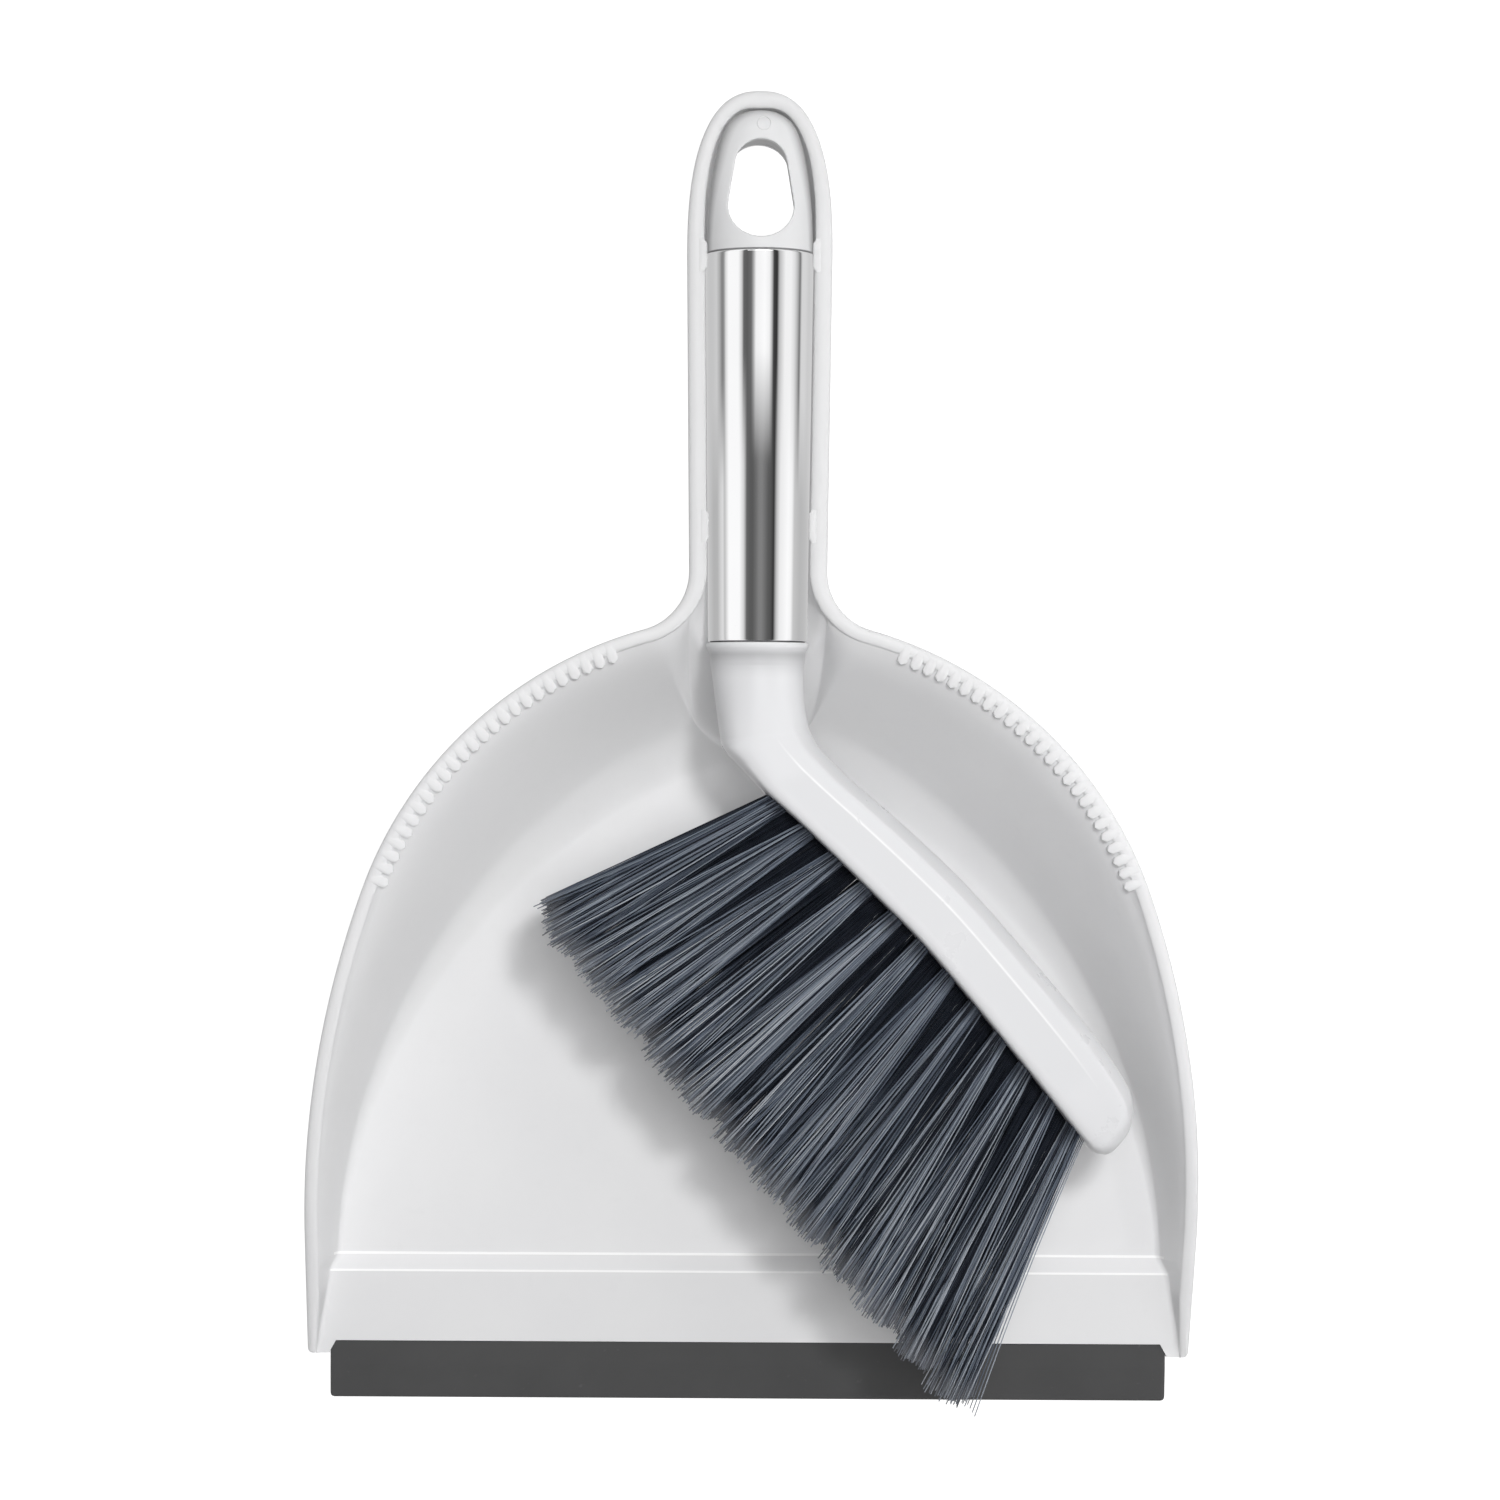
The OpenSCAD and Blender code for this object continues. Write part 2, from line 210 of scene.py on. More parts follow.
def plastic(name, base, tint, rough=(0.3, 0.42), grain=0.12, wave=0.05, speck=0.1, crest=False, scuff=0.07,
            painted=False, foot=None):
    """Moulded plastic: faint cloudy colour, uneven gloss, fine moulding grain and hairline scuffs; optional painted
    highlights and painted shade.
    """
    m, nt, bsdf, out = new_material(name)
    co = nt.nodes.new("ShaderNodeTexCoord").outputs["Object"]
    cloud = noise(nt, co, 22.0, 5.0, 0.6)
    col = mix_color(nt, remap(nt, cloud.outputs["Fac"], 0.0, 1.0), base, tint)
    fine = noise(nt, co, 900.0, 3.0, 0.6)
    dots = noise(nt, co, 260.0, 2.0, 0.5)
    col = mix_color(nt, remap(nt, dots.outputs["Fac"], 0.0, speck, 0.62, 0.8), col, tuple(c * 0.9 for c in tint))
    gloss = noise(nt, co, 60.0, 6.0, 0.65)
    r = remap(nt, gloss.outputs["Fac"], rough[0], rough[1])
    hair = noise(nt, co, 40.0, 8.0, 0.75, (1.0, 14.0, 3.0))
    sc = remap(nt, hair.outputs["Fac"], 0.0, scuff, 0.6, 0.72)
    add = nt.nodes.new("ShaderNodeMath")
    add.operation = "ADD"
    nt.links.new(r, add.inputs[0])
    nt.links.new(sc, add.inputs[1])
    r = add.outputs[0]
    if crest:
        # painted highlights: the two bends of the front ramp are painted bright, where they would catch the light
        xyz = nt.nodes.new("ShaderNodeSeparateXYZ")
        nt.links.new(co, xyz.inputs[0])
        for y, half in ((-0.1283, 0.00032), (-0.13255, 0.00026)):
            off = nt.nodes.new("ShaderNodeMath")
            off.operation = "COMPARE"
            off.inputs[1].default_value = y
            off.inputs[2].default_value = half
            nt.links.new(xyz.outputs["Y"], off.inputs[0])
            low = nt.nodes.new("ShaderNodeMath")
            low.operation = "LESS_THAN"
            low.inputs[1].default_value = 0.0061
            nt.links.new(xyz.outputs["Z"], low.inputs[0])
            inside = nt.nodes.new("ShaderNodeMath")
            inside.operation = "COMPARE"
            inside.inputs[1].default_value = 0.0
            inside.inputs[2].default_value = 0.1086
            nt.links.new(xyz.outputs["X"], inside.inputs[0])
            amount = off.outputs[0]
            for other in (low.outputs[0], inside.outputs[0]):
                both = nt.nodes.new("ShaderNodeMath")
                both.operation = "MULTIPLY"
                nt.links.new(amount, both.inputs[0])
                nt.links.new(other, both.inputs[1])
                amount = both.outputs[0]
            col = mix_color(nt, amount, col, (0.96, 0.96, 0.96))
        # painted shade: the handle end is painted a little greyer
        col = mix_color(nt, remap(nt, xyz.outputs["Y"], 0.0, 1.0, -0.005, 0.055), col, (0.715, 0.715, 0.72))
    if painted:
        # painted highlight along the ridge and on the collar bead, painted shade under the bead and at its joint with
        # the tube
        at = nt.nodes.new("ShaderNodeAttribute")
        at.attribute_name = "painted_light"
        col = mix_color(nt, remap(nt, at.outputs["Fac"], 0.0, 1.0, 0.0, 1.0), col, (0.93, 0.93, 0.935))
        col = mix_color(nt, remap(nt, at.outputs["Fac"], 0.0, 1.0, 0.0, -1.0), col, (0.03, 0.03, 0.032))
    if foot is not None:
        # painted shade: darker below the top face, over the hang hole's inner wall and the lower flanks, and a painted
        # dark shade line where the cap meets the tube
        xyz = nt.nodes.new("ShaderNodeSeparateXYZ")
        nt.links.new(co, xyz.inputs[0])
        low = nt.nodes.new("ShaderNodeMath")
        low.operation = "LESS_THAN"
        low.inputs[1].default_value = foot
        nt.links.new(xyz.outputs["Y"], low.inputs[0])
        col = mix_color(nt, remap(nt, xyz.outputs["Z"], 1.0, 0.0, 0.0475, 0.05), col, (0.43, 0.43, 0.435))
        col = mix_color(nt, low.outputs[0], col, (0.26, 0.26, 0.265))
    nt.links.new(col, bsdf.inputs["Base Color"])
    nt.links.new(r, bsdf.inputs["Roughness"])
    bsdf.inputs["Specular IOR Level"].default_value = 0.5
    n1 = bump(nt, bsdf, fine.outputs["Fac"], grain, 0.00004)
    wav = noise(nt, co, 14.0, 2.0, 0.4)
    bump(nt, bsdf, wav.outputs["Fac"], wave, 0.0006, n1)
    return m


# the pan carries painted highlights on the front ramp's bends and painted shade on the handle
MAT_PAN = plastic("pan_plastic", (0.80, 0.80, 0.805), (0.77, 0.77, 0.78), (0.33, 0.45), 0.1, 0.03, 0.12, True)
# the head carries a painted highlight on its ridge and painted shade under the collar bead
MAT_HEAD = plastic("head_plastic", (0.708, 0.71, 0.724), (0.702, 0.704, 0.718), (0.26, 0.34), 0.05, 0.004, 0.03,
                   scuff=0.0, painted=True)
# the cap carries painted shade on its lower part and a painted shade line at its joint with the tube
MAT_CAP = plastic("cap_plastic", (0.71, 0.712, 0.718), (0.68, 0.682, 0.69), (0.3, 0.42), 0.12, 0.03, foot=0.12595)


def rubber():
    m, nt, bsdf, out = new_material("lip_rubber")
    co = nt.nodes.new("ShaderNodeTexCoord").outputs["Object"]
    cloud = noise(nt, co, 30.0, 6.0, 0.65)
    dust = noise(nt, co, 420.0, 3.0, 0.6)
    col = mix_color(nt, remap(nt, cloud.outputs["Fac"], 0.0, 1.0), (0.062, 0.062, 0.063), (0.075, 0.075, 0.076))
    col = mix_color(nt, remap(nt, dust.outputs["Fac"], 0.0, 0.25, 0.68, 0.8), col, (0.16, 0.16, 0.16))
    nt.links.new(col, bsdf.inputs["Base Color"])
    nt.links.new(remap(nt, cloud.outputs["Fac"], 0.55, 0.7), bsdf.inputs["Roughness"])
    bsdf.inputs["Specular IOR Level"].default_value = 0.35
    bump(nt, bsdf, dust.outputs["Fac"], 0.15, 0.00006)
    return m


MAT_LIP = rubber()


def steel():
    """Polished stainless tube: fine lengthwise drawing marks and a few faint smears."""
    m, nt, bsdf, out = new_material("steel_tube")
    co = nt.nodes.new("ShaderNodeTexCoord").outputs["Object"]
    lines = noise(nt, co, 700.0, 4.0, 0.7, (1.0, 0.012, 1.0))
    smear = noise(nt, co, 35.0, 5.0, 0.6, (1.0, 0.35, 1.0))
    bsdf.inputs["Metallic"].default_value = 1.0
    col = mix_color(nt, remap(nt, smear.outputs["Fac"], 0.0, 1.0), (0.86, 0.86, 0.865), (0.82, 0.82, 0.828))
    nt.links.new(col, bsdf.inputs["Base Color"])
    nt.links.new(remap(nt, smear.outputs["Fac"], 0.015, 0.045), bsdf.inputs["Roughness"])
    bump(nt, bsdf, lines.outputs["Fac"], 0.05, 0.00002)
    return m


MAT_STEEL = steel()


def bristle():
    """Synthetic filament: each strand has its own tone, paler at the rubbed tips, with painted shade towards the roots
    and on the lower columns.
    """
    m, nt, bsdf, out = new_material("bristle")
    at = nt.nodes.new("ShaderNodeAttribute")
    at.attribute_name = "shade"
    al = nt.nodes.new("ShaderNodeAttribute")
    al.attribute_name = "along"
    co = nt.nodes.new("ShaderNodeTexCoord").outputs["Object"]
    ramp = nt.nodes.new("ShaderNodeValToRGB")
    e = ramp.color_ramp.elements
    e[0].position, e[0].color = 0.0, (0.004, 0.005, 0.008, 1)
    e[1].position, e[1].color = 1.0, (0.42, 0.44, 0.47, 1)
    for pos, col in ((0.25, (0.022, 0.027, 0.038, 1)), (0.5, (0.11, 0.131, 0.168, 1)), (0.75, (0.235, 0.265, 0.31, 1)),
                     (0.92, (0.37, 0.395, 0.44, 1))):
        x = e.new(pos)
        x.color = col
    nt.links.new(at.outputs["Fac"], ramp.inputs["Fac"])
    tip = remap(nt, al.outputs["Fac"], 0.0, 0.4, 0.9, 1.0)
    col = mix_color(nt, tip, ramp.outputs["Color"], (0.40, 0.41, 0.44))
    # painted shade: strands darken towards their roots, where they go into the head
    col = mix_color(nt, remap(nt, al.outputs["Fac"], 0.7, 0.0, 0.04, 0.1), col, (0.006, 0.007, 0.01))
    mott = noise(nt, co, 300.0, 3.0, 0.6)
    col = mix_color(nt, remap(nt, mott.outputs["Fac"], 0.0, 0.15), col, (0.05, 0.06, 0.08))
    nt.links.new(col, bsdf.inputs["Base Color"])
    nt.links.new(remap(nt, mott.outputs["Fac"], 0.32, 0.45), bsdf.inputs["Roughness"])
    bsdf.inputs["Specular IOR Level"].default_value = 0.16
    return m


MAT_BRISTLE = bristle()


# ---------------------------------------------------------------- dustpan
HALF_W, BACK_R, RIM_H, FLOOR_T, FLANGE, WALL_T = 113.9, 104.5, 48.0, 3.0, 3.6, 2.1
Y_FRONT, RAMP_Y, CREST_Y, STEP_Y, CREST_H = -154.3, -151.0, -132.6, -128.4, 5.5
SIDE_A = math.radians(20)
SIDE_R = (HALF_W - BACK_R * math.cos(SIDE_A)) / (1 - math.cos(SIDE_A))
FIL_R, NECK_HW, TIP_HW, TIP_Y, TIP_L, TROUGH_RIM = 15.0, 17.2, 18.1, 125.0, 41.0, 4.2
BACK_C = np.array([0.0, -68.5])
SIDE_C = BACK_C + (BACK_R - SIDE_R) * np.array([math.cos(SIDE_A), math.sin(SIDE_A)])
FIL_X = NECK_HW + FIL_R
FIL_C = np.array([FIL_X, BACK_C[1] + math.sqrt((BACK_R + FIL_R) ** 2 - FIL_X ** 2)])
BACK_END = math.pi / 2 - math.atan(FIL_X / (FIL_C[1] - BACK_C[1]))
NECK_Y = FIL_C[1]


def rim_z(y):
    t = clamp01((y + 154) / 154)
    return 4 + (RIM_H - 4) * (1 - (1 - t) ** 1.8)


def flange_at(y):
    return lerp(2.4, FLANGE, clamp01((y + 154) / 16))


def trough_hw(y):
    return lerp(NECK_HW, TIP_HW, clamp01((y - NECK_Y) / (TIP_Y - NECK_Y))) - TROUGH_RIM


def trough_z(y):
    return AXIS_Z - trough_hw(y) - 0.05


def floor_z(y):
    """Inner floor on the middle line: ramp, crest, step, flat floor and the rise to the handle."""
    if y >= 2:
        return lerp(FLOOR_T, trough_z(min(y, TIP_Y)), smooth((y - 2) / 29))
    ramp = lerp(CREST_H, 3.2, (CREST_Y - y) / (CREST_Y - RAMP_Y))
    step = lerp(FLOOR_T, CREST_H, (STEP_Y - y) / (STEP_Y - CREST_Y))
    k = 0.09  # crest rounding
    h = max(k - abs(ramp - step), 0.0) / k
    top = min(ramp, step) - h * h * k / 4
    k = 0.12  # foot rounding
    h = max(k - abs(top - FLOOR_T), 0.0) / k
    return max(top, FLOOR_T) + h * h * k / 4


def under_z(y):
    return 0.0 if y < 2 else floor_z(y) - lerp(FLOOR_T, 2.4, smooth((y - 2) / 29))


def floor_hw(y):
    if y < -132:
        return lerp(107.8, 111.2, (-132 - y) / 19)
    if y < STEP_Y:
        return lerp(107.8, 105.9, (y + 132) / 3.6)
    return 106 * (1 - (max(0.0, y + 130) / 136) ** 1.9) ** 0.625


def foot(g):
    t = math.radians(4 + 76 * g)
    return np.array([106 * math.cos(t) ** 1.25, -130 + 136 * math.sin(t) ** 1.0526])


ARC_L = SIDE_R * SIDE_A + BACK_R * (BACK_END - SIDE_A)


def stations():
    """(rim point, inward direction, wall foot, middle point, flange, wall-top height, fillet on floor, on wall)"""
    out = []
    ys = np.concatenate([
        np.linspace(Y_FRONT, -153.0, 9), np.linspace(-152.7, -151.0, 5), np.linspace(-150.4, -134.5, 26), np.linspace(-134.0, -131.2, 15),
        np.linspace(-130.9, -129.6, 4), np.linspace(-129.3, -127.5, 11), np.linspace(-127.0, SIDE_C[1], 8)])
    for y in ys:
        fl = flange_at(y)
        corner = clamp01((Y_FRONT + 1.3 - y) / 1.3)
        x = HALF_W - 1.2 * (1 - math.sqrt(1 - corner * corner))
        w = HALF_W - fl
        zt = max(rim_z(y) - 1.3, floor_z(y) + 0.3)
        b = min(floor_hw(y), w - 0.4)
        out.append((np.array([x, y]), np.array([-1.0, 0.0]), np.array([b, y]), np.array([0.0, y]), fl - (HALF_W - x),
                    zt, 1.1, 1.3))
    for i in range(1, 41):
        a = SIDE_A * i / 40
        n = np.array([math.cos(a), math.sin(a)])
        g = SIDE_R * a / ARC_L
        c = SIDE_C + SIDE_R * n
        out.append((c, -n, foot(g), np.array([0, lerp(SIDE_C[1], -1, g)]), FLANGE, rim_z(c[1]) - 1.3,
                    1.1 + 9 * g, 1.3 + 11 * g))
    for i in range(1, 91):
        a = lerp(SIDE_A, BACK_END, i / 90)
        n = np.array([math.cos(a), math.sin(a)])
        g = (SIDE_R * SIDE_A + BACK_R * (a - SIDE_A)) / ARC_L
        c = BACK_C + BACK_R * n
        out.append((c, -n, foot(g), np.array([0, lerp(SIDE_C[1], -1, g)]), FLANGE, rim_z(c[1]) - 1.3,
                    1.1 + 9 * g, 1.3 + 11 * g))
    f_out, f_wall = 10.1, 12.3
    e = foot(1.0)
    for i in range(1, 61):
        f = i / 60
        a = lerp(math.pi + BACK_END, math.pi, f)
        n = np.array([math.cos(a), math.sin(a)])
        c = FIL_C + FIL_R * n
        m = np.array([0, lerp(-1, NECK_Y, f)])
        fl = lerp(FLANGE, TROUGH_RIM, f)
        w = c + fl * n
        b = e * (1 - smooth(f)) + np.array([w[0], m[1]]) * smooth(f)
        zt = lerp(RIM_H - 1.3, AXIS_Z, smooth(f))
        out.append((c, n, b, m, fl, zt,
                    lerp(f_out, np.linalg.norm(b - m), smooth(f)), lerp(f_wall, 99.0, smooth(f) ** 2)))
    for y in np.linspace(NECK_Y, TIP_Y, 24)[1:]:
        hw = trough_hw(y)
        out.append((np.array([hw + TROUGH_RIM, y]), np.array([-1.0, 0.0]), np.array([hw, y]), np.array([0.0, y]),
                    TROUGH_RIM, AXIS_Z, 99.0, 99.0))
    for i in range(1, 49):
        a = math.pi / 2 * i / 48
        x = TIP_HW * max(0.0, math.cos(a)) ** 0.8 if i < 48 else 0.0
        dy = TIP_L * math.sin(a) ** 0.8
        nx, ny = x ** 1.5 / TIP_HW ** 2.5, dy ** 1.5 / TIP_L ** 2.5
        ln = math.hypot(nx, ny)
        n = np.array([-nx / ln, -ny / ln])
        c = np.array([x, TIP_Y + dy])
        m = np.array([0.0, TIP_Y + 25 * dy / TIP_L])
        fl = TROUGH_RIM - 0.75 * math.sin(2 * a)
        w = c + fl * n
        out.append((c, n, lerp(m, w, 0.999), m, fl, AXIS_Z, 99.0, 99.0))
    return out


def bezier(p0, p1, p2, p3, n):
    return [((1 - t) ** 3 * p0 + 3 * (1 - t) ** 2 * t * p1 + 3 * (1 - t) * t * t * p2 + t ** 3 * p3)
            for t in [i / n for i in range(n + 1)]]


RIM = [(3.58, -1.22), (3.5, -0.88), (3.3, -0.6), (2.95, -0.33), (2.45, -0.13), (1.85, -0.01), (1.4, -0.03), (0.9, -0.19),
       (0.48, -0.48), (0.2, -0.9), (0.05, -1.45), (0.0, -2.1), (0.03, -2.75), (0.18, -3.1), (0.45, -3.25), (0.9, -3.2)]


def pan_ring(s):
    c, n, b, m, fl, zt, qf, qw = s
    zr = rim_z(c[1])
    w = c + fl * n
    zb, zm = floor_z(b[1]), floor_z(m[1])
    mix = smooth((qw - 12.3) / 37.7)
    zb = lerp(zb, zm, mix)
    K = np.array([b[0], b[1], zb])
    M = np.array([m[0], m[1], zm])
    W = np.array([w[0], w[1], zt])
    df, dw = M - K, W - K
    lf, lw = np.linalg.norm(df), np.linalg.norm(dw)
    P0 = K + df * min(1.0, qf / max(lf, 1e-6))
    P3 = K + dw * min(1.0, qw / max(lw, 1e-6)) * 0.9999
    kap = 0.5523
    fil = bezier(P0, P0 + (K - P0) * kap, P3 + (K - P3) * kap, P3, 14)
    ring = [M + (P0 - M) * t for t in (0, 0.2, 0.4, 0.6, 0.8, 0.93)]
    ring += fil
    # the wall leans out more towards its top
    flare = 0.55 * clamp01((50 - qw) / 30) if s[3][1] > -131 else 0.0
    for t in (0.12, 0.25, 0.4, 0.55, 0.7, 0.82, 0.92, 1.0):
        p = P3 + (W - P3) * t
        p[2] += (W[2] - P3[2]) * flare * t * t * (1 - t)
        ring.append(p)
    k = (fl + 0.28 * clamp01((qw - 12.3) / 60)) / 3.6
    for d, h in RIM:
        ring.append(np.array([c[0] + d * k * n[0], c[1] + d * k * n[1], zr + h]))
    # underside: the inside surface moved out by the wall's thickness
    tw = max(0.15, min(WALL_T, fl - 0.8))
    tb = zb - lerp(under_z(b[1]), zm - 2.4, mix)
    inner = ring[6 + 14:6 + 15 + 8]
    outer = []
    for p in reversed(inner):
        v = clamp01((p[2] - zb) / max(zt - zb, 1e-6))
        v = lerp(math.sin(math.pi / 2 * v), math.sqrt(max(0.0, 1 - (1 - v) ** 2)), mix)
        z = max(0.0, min(p[2] - tb * math.sqrt(max(0.0, 1 - v * v)), zr - 3.1))
        outer.append(np.array([p[0] - tw * v * n[0], p[1] - tw * v * n[1], z]))
    ring += outer
    for t in (0.75, 0.5, 0.25):
        p = fil[int(round(14 * t))]
        v = clamp01((p[2] - zb) / max(zt - zb, 1e-6))
        v = lerp(math.sin(math.pi / 2 * v), math.sqrt(max(0.0, 1 - (1 - v) ** 2)), mix)
        ring.append(np.array([p[0] - tw * v * n[0], p[1] - tw * v * n[1],
                              max(0.0, min(p[2] - tb * math.sqrt(max(0.0, 1 - v * v)), zr - 3.1))]))
    ring.append(np.array([P0[0], P0[1], lerp(under_z(P0[1]), zm - 2.4, mix)]))
    ring.append(np.array([m[0], m[1], lerp(under_z(min(m[1], TIP_Y)), zm - 2.4, mix)]))
    return ring


def pear_outline(grow, n=28):
    r1, r2, c1, c2 = 8 + grow, 6.3 + grow, 136.7, 147.0
    a0 = math.asin((r1 - r2) / (c2 - c1))
    pts = []
    for i in range(n + 1):
        a = lerp(a0, math.pi - a0, i / n)
        pts.append((r2 * math.cos(a), c2 + r2 * math.sin(a)))
    for i in range(1, 8):
        t = i / 8
        pts.append((lerp(-r2, -r1, t) * math.cos(a0), lerp(c2 + r2 * math.sin(a0), c1 + r1 * math.sin(a0), t)))
    for i in range(n + 1):
        a = lerp(math.pi - a0, 2 * math.pi + a0, i / n)
        pts.append((r1 * math.cos(a), c1 + r1 * math.sin(a)))
    for i in range(1, 8):
        t = i / 8
        pts.append((lerp(r1, r2, t) * math.cos(a0), lerp(c1 + r1 * math.sin(a0), c2 + r2 * math.sin(a0), t)))
    return pts


def prism(name, outline, z0, z1, lower=None):
    rings = [[(x, y, z0) for x, y in (lower or outline)], [(x, y, z1) for x, y in outline]]
    v, f = bridge(rings)
    ob = mesh_object(name, v, f, None, all_smooth=False)
    fix_normals(ob)
    return ob


def build_pan():
    rings = [pan_ring(s) for s in stations()]
    n = len(rings[0])
    verts, faces = [], []
    for side in (1, -1):
        base = len(verts)
        for r in rings:
            for p in r:
                verts.append((p[0] * side, p[1], p[2]))
        for i in range(len(rings) - 1):
            for j in range(n - 1):
                a = base + i * n + j
                q = (a, a + 1, a + 1 + n, a + n)
                faces.append(q if side > 0 else q[::-1])
    # front end: right ring then left ring back
    front = list(range(n)) + [len(rings) * n + j for j in range(n - 1, -1, -1)]
    faces.append(tuple(front))
    ob = mesh_object("pan_shell", verts, faces, MAT_PAN)
    weld(ob, 2e-7)
    cut(ob, prism("c1", pear_outline(0.9), 15, 42, pear_outline(2.2)))
    notch = [(-108.25, -160), (-108.25, Y_FRONT + 0.3), (-106.6, RAMP_Y), (106.6, RAMP_Y), (108.25, Y_FRONT + 0.3),
             (108.25, -160)]
    cut(ob, prism("c2", notch, -1, 30))
    cut(ob, prism("c3", [(-108.25, -170), (108.25, -170), (108.25, -139), (-108.25, -139)], -1, 2.05))
    set_smooth(ob, 32)
    return ob


def rib(center, inward, z_of, width, length, height):
    """One comb tooth: a rounded rib that crosses the rim and stands a little over its inner edge."""
    side = np.array([-inward[1], inward[0]])
    rings = []
    nl, nw = 12, 10
    for i in range(nl + 1):
        t = i / nl
        d = t * length
        end = math.sqrt(max(0.0, 1 - (max(0.0, (d - (length - 1.0)) / 1.0)) ** 2)) if d > length - 1.0 else 1.0
        st = math.sin(math.pi / 2 * min(1.0, d / 0.7)) if d < 0.7 else 1.0
        hw = width / 2 * max(0.12, end) * (0.75 + 0.25 * st)
        h = height * max(0.0, st)
        row = []
        for k in range(nw + 1):
            u = -1 + 2 * k / nw
            zz = h * (1 - abs(u) ** 3.2)
            p = center + inward * d + side * (u * hw)
            row.append((p[0], p[1], z_of(d) + zz))
        for k in range(nw, -1, -1):
            u = -1 + 2 * k / nw
            p = center + inward * d + side * (u * hw)
            row.append((p[0], p[1], z_of(d) - 1.0 - 0.9 * max(0.0, d - 2.6)))
        rings.append(row)
    return bridge(rings)


def build_teeth():
    verts, faces = [], []
    for i in range(25):
        a = math.radians(68.9 - i * 47 / 24)
        n = np.array([math.cos(a), math.sin(a)])
        c = BACK_C + (BACK_R - 0.7) * n
        z = rim_z(c[1])
        v, f = rib(c, -n, lambda d: z - 0.25 - 0.16 * max(0.0, d - 2.4) ** 1.5, 2.55, 5.1, 0.36)
        for side in (1, -1):
            base = len(verts)
            verts += [(p[0] * side, p[1], p[2]) for p in v]
            faces += [tuple(base + k for k in (q if side > 0 else q[::-1])) for q in f]
    ob = mesh_object("pan_teeth", verts, faces, MAT_PAN)
    fix_normals(ob)
    set_smooth(ob, 40)
    return ob


def build_bumps():
    """Snap bumps: low pads on the inner edge of the trough that narrow its mouth."""
    verts, faces = [], []
    for y, reach in ((125.0, 0.8), (57.8, 0.7)):
        x0 = trough_hw(y)
        rings = []
        for i in range(25):
            t = -1 + 2 * i / 24
            yy = y + 4.1 * t
            k = smooth((1 - abs(t)) / 0.28)
            r = reach * k
            row = []
            for d, z in ((1.6, 46.2), (0.1, 46.25), (-0.55 * r, 46.6), (-r, 47.1), (-r, 47.45), (-0.8 * r, 47.72),
                         (-0.35 * r, 47.86), (0.5, 47.93), (1.2, 47.9), (1.6, 47.6)):
                row.append((x0 + d, yy, z))
            rings.append(row)
        v, f = bridge(rings)
        for side in (1, -1):
            base = len(verts)
            verts += [(p[0] * side, p[1], p[2]) for p in v]
            faces += [tuple(base + q for q in (g if side > 0 else g[::-1])) for g in f]
    ob = mesh_object("pan_snap_bumps", verts, faces, MAT_PAN)
    fix_normals(ob)
    set_smooth(ob, 45)
    return ob


# ---------------------------------------------------------------- rubber lip
def build_lip():
    y1, y0, hw = -139.2, -166.0, 108.1
    prof = [(y1, 0.06), (y1, 1.9), (-150.8, 2.0), (-157.6, 1.98), (-158.0, 1.93), (-164.8, 1.05), (-165.25, 0.98),
            (-165.7, 0.8), (-165.93, 0.55), (-166.0, 0.3), (-165.93, 0.08), (-165.7, 0.0), (y1 - 0.2, 0.0)]
    rings = []
    xs = [-hw, -hw + 0.06, -hw + 0.2, -hw + 0.45, -hw + 1.0, -hw + 2.5] + list(np.linspace(-hw + 8, hw - 8, 40)) + \
         [hw - 2.5, hw - 1.0, hw - 0.45, hw - 0.2, hw - 0.06, hw]
    for x in xs:
        d = hw - abs(x)
        k = 1.0 - math.sqrt(max(0.0, 1 - (1 - min(1.0, d / 1.0)) ** 2))
        row = []
        for y, z in prof:
            yy = y + k * 1.0 if y < -163 else y
            zz = z * (1 - 0.35 * k) if z > 0.3 else z
            row.append((x, yy, zz))
        rings.append(row)
    v, f = bridge(rings)
    ob = mesh_object("lip_strip", v, f, MAT_LIP)
    fix_normals(ob)
    set_smooth(ob, 30)
    return ob


# ---------------------------------------------------------------- brush head
HEAD = [
    [-11.65, 23.2, 11.6, 23.2, 11.55, 2, 0], [-11.1, 19.4, 11.4, 19.4, 11.5, 2.05, 0],
    [-10.2, 12.6, 11.8, 13.6, 12, 2.3, 0], [-9.2, 5.6, 12.6, 8.6, 13, 2.9, 0.1],
    [-8.75, 3.1, 13.3, 6.6, 13.5, 3.2, 0.16], [-7.4, 1.2, 13.9, 5.4, 13.7, 3.5, 0.2],
    [-4.4, -1.8, 14.9, 3.6, 13.8, 3.8, 0.22], [1.8, -8.2, 17.7, 0.4, 14, 5, 0.3],
    [10, -15.4, 23.3, -5, 14, 6, 0.34], [20, -24.9, 33.3, -13.5, 14, 6, 0.35],
    [30.4, -35, 43.8, -23, 14, 6, 0.35], [40.4, -45, 54.6, -33.7, 14, 6, 0.35],
    [53.6, -60.4, 68.8, -49.8, 14, 6, 0.35], [68.2, -78.2, 83.6, -67.6, 14, 6, 0.35],
    [80, -93, 91.9, -79.9, 13.6, 5, 0.33], [83.6, -96.8, 93.6, -85.6, 12.4, 3.8, 0.25],
    [86.6, -97.9, 93.4, -89.8, 9.4, 2.6, 0.1]]


RIDGE = 0.6


